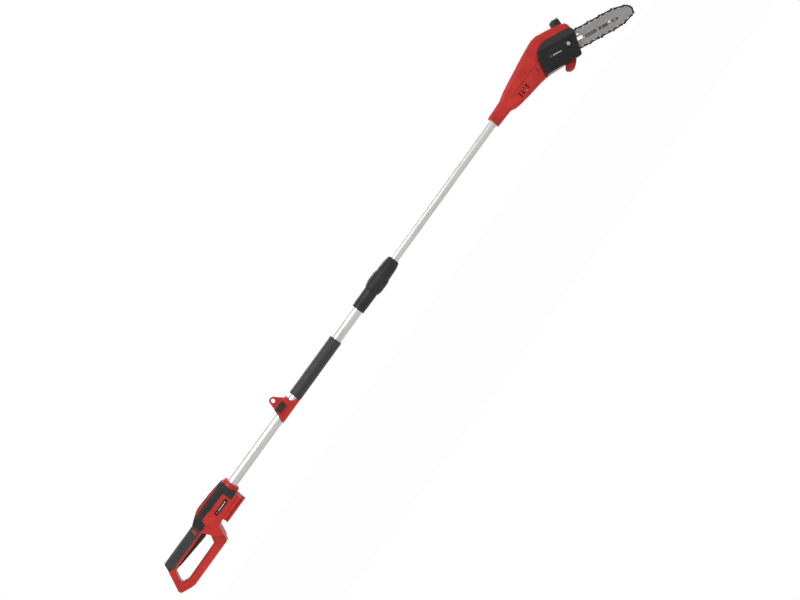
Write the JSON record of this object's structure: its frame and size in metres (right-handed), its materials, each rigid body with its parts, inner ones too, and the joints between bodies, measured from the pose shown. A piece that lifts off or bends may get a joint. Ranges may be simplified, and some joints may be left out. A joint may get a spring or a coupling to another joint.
{
  "type": "telescoping pole saw",
  "caption": "Cordless telescoping pole saw: D-grip handle, sliding pole with a twist lock, strap eye, geared head with guide bar and chain.",
  "frame": {"origin": "on the pole's axis at the middle of the fore grip", "axes": "+X along the pole to the saw head, +Z the tool's top side, +Y its left; chain and cover lie on -Y"},
  "size_m": [1.8412, 0.0696, 0.1728],
  "materials": {
    "red_plastic": "satin moulded",
    "soft_grip": "soft textured",
    "black_plastic": "moulded",
    "button_red": "moulded",
    "gloss_black": "glossy",
    "label_face": "printed plate, no words",
    "tube_aluminium": "satin anodised",
    "zinc_screw": "zinc plated",
    "steel": "machined",
    "bar_steel": "ground",
    "chain_steel": "oiled dark",
    "contact_brass": "plated",
    "board_green": "lacquered",
    "cable_black": "matt",
    "gearbox_alloy": "cast alloy",
    "tank_plastic": "translucent natural",
    "seal_rubber": "matt"
  },
  "bodies": {
    "handle": {"handle_shell_right": "red_plastic", "handle_shell_left": "red_plastic", "handle_screws": "zinc_screw", "grip_overmould": "soft_grip", "top_cover": "black_plastic", "front_collar_ring": "red_plastic", "battery_shoe": "red_plastic", "battery_contacts": "contact_brass", "trigger_pin": "steel", "trigger_spring": "steel", "switch": "black_plastic", "lock_off_spring": "steel", "control_board": "board_green", "handle_cable": "cable_black", "handle_label_plate": "label_face", "outer_tube": "tube_aluminium", "fore_grip": "soft_grip", "lock_sleeve": "black_plastic", "lock_collet": "black_plastic", "coil_cable": "cable_black"},
    "trigger_lever": {"trigger": "black_plastic"},
    "lock_off": {"lock_off_button": "button_red"},
    "strap_mount": {"strap_bracket_right": "red_plastic", "strap_bracket_left": "red_plastic", "strap_bolt": "zinc_screw"},
    "strap_knob": {"strap_knob": "black_plastic"},
    "lock_nut": {"lock_nut": "black_plastic"},
    "head": {"inner_tube": "tube_aluminium", "inner_tube_bush": "black_plastic", "head_shell_right": "red_plastic", "head_shell_left": "red_plastic", "head_screws": "zinc_screw", "head_cable": "cable_black", "gearbox_housing": "gearbox_alloy", "output_bearings": "steel", "motor_can": "steel", "motor_bearings": "steel", "bar_mount_plate": "steel", "oil_tank": "tank_plastic", "branch_hook": "red_plastic"},
    "rotor": {"motor_rotor": "steel", "motor_pinion": "steel", "motor_fan": "black_plastic"},
    "output": {"output_shaft": "steel", "bevel_gear": "steel", "drive_sprocket": "steel", "sprocket_clip": "zinc_screw"},
    "bar": {"guide_bar": "bar_steel", "chain_drive_links": "chain_steel", "chain_cutters": "chain_steel", "chain_tie_straps": "chain_steel", "chain_rivets": "chain_steel", "tensioner_block": "steel"},
    "tension_screw": {"tensioner_screw": "zinc_screw"},
    "nose_wheel": {"nose_sprocket": "steel"},
    "cover": {"chain_cover": "gloss_black", "cover_label_plate": "label_face"},
    "bar_nut": {"bar_nut": "zinc_screw"},
    "cap_seal": {"oil_cap_gasket": "seal_rubber"},
    "oil_cap": {"oil_cap": "black_plastic"}
  },
  "joints": [
    {"name": "trigger_pull", "type": "hinge", "parent": "handle", "child": "trigger_lever", "pos_m": [-0.6045, 0, -0.012], "axis": [0, -1, 0], "range_deg": [0, 2.4], "stiffness_Nm_per_rad": 0.6, "springref_deg": -2.86, "deforming": ["trigger_spring"]},
    {"name": "lock_off_push", "type": "slide", "parent": "handle", "child": "lock_off", "axis": [0, 1, 0], "range_m": [0, 0.003], "stiffness_N_per_m": 400, "springref_m": -0.002, "deforming": ["lock_off_spring"]},
    {"name": "strap_mount_slide", "type": "slide", "parent": "handle", "child": "strap_mount", "axis": [1, 0, 0], "range_m": [-0.19, 0]},
    {"name": "strap_knob_turn", "type": "hinge", "parent": "strap_mount", "child": "strap_knob", "pos_m": [-0.129, -0.0248, 0.0176], "axis": [0, 1, 0], "range_deg": [0, 180]},
    {"name": "lock_nut_turn", "type": "hinge", "parent": "handle", "child": "lock_nut", "pos_m": [0.28, 0, 0], "axis": [-1, 0, 0], "range_deg": [0, 120]},
    {"name": "telescope", "type": "slide", "parent": "handle", "child": "head", "axis": [1, 0, 0], "range_m": [-0.4, 0.14], "deforming": ["coil_cable"]},
    {"name": "output_spin", "type": "hinge", "parent": "head", "child": "output", "pos_m": [0.98176, 0, -0.01818], "axis": [0, 1, 0], "continuous": true, "deforming": ["chain_drive_links", "chain_cutters", "chain_tie_straps", "chain_rivets"]},
    {"name": "rotor_spin", "type": "hinge", "parent": "head", "child": "rotor", "pos_m": [0.98176, 0, -0.01818], "axis": [0.9829, 0, -0.184], "continuous": true},
    {"name": "bar_slide", "type": "slide", "parent": "head", "child": "bar", "axis": [0.9063, 0, -0.4226], "range_m": [-0.004, 0.003]},
    {"name": "tension_screw_turn", "type": "hinge", "parent": "head", "child": "tension_screw", "pos_m": [1.03064, -0.0163, -0.05366], "axis": [0.9063, 0, -0.4226], "range_deg": [-1900, 1450]},
    {"name": "nose_spin", "type": "hinge", "parent": "bar", "child": "nose_wheel", "pos_m": [1.17054, -0.022, -0.10621], "axis": [0, 1, 0], "continuous": true},
    {"name": "cover_off", "type": "slide", "parent": "head", "child": "cover", "axis": [0, -1, 0], "range_m": [0, 0.05]},
    {"name": "bar_nut_turn", "type": "hinge", "parent": "cover", "child": "bar_nut", "pos_m": [1.02055, -0.0355, -0.03626], "axis": [0, -1, 0], "range_deg": [0, 1080]},
    {"name": "cap_lift", "type": "slide", "parent": "head", "child": "cap_seal", "axis": [0.4226, 0, 0.9063], "range_m": [0, 0.03]},
    {"name": "cap_turn", "type": "hinge", "parent": "cap_seal", "child": "oil_cap", "pos_m": [1.04635, 0, 0.0179], "axis": [0.4226, 0, 0.9063], "range_deg": [0, 360]}
  ],
  "couplings": [
    {"joint": "rotor_spin", "follows": "output_spin", "ratio": 2},
    {"joint": "nose_spin", "follows": "output_spin", "ratio": 1.3377},
    {"joint": "tension_screw_turn", "follows": "bar_slide", "rad_per_m": 7854}
  ]
}
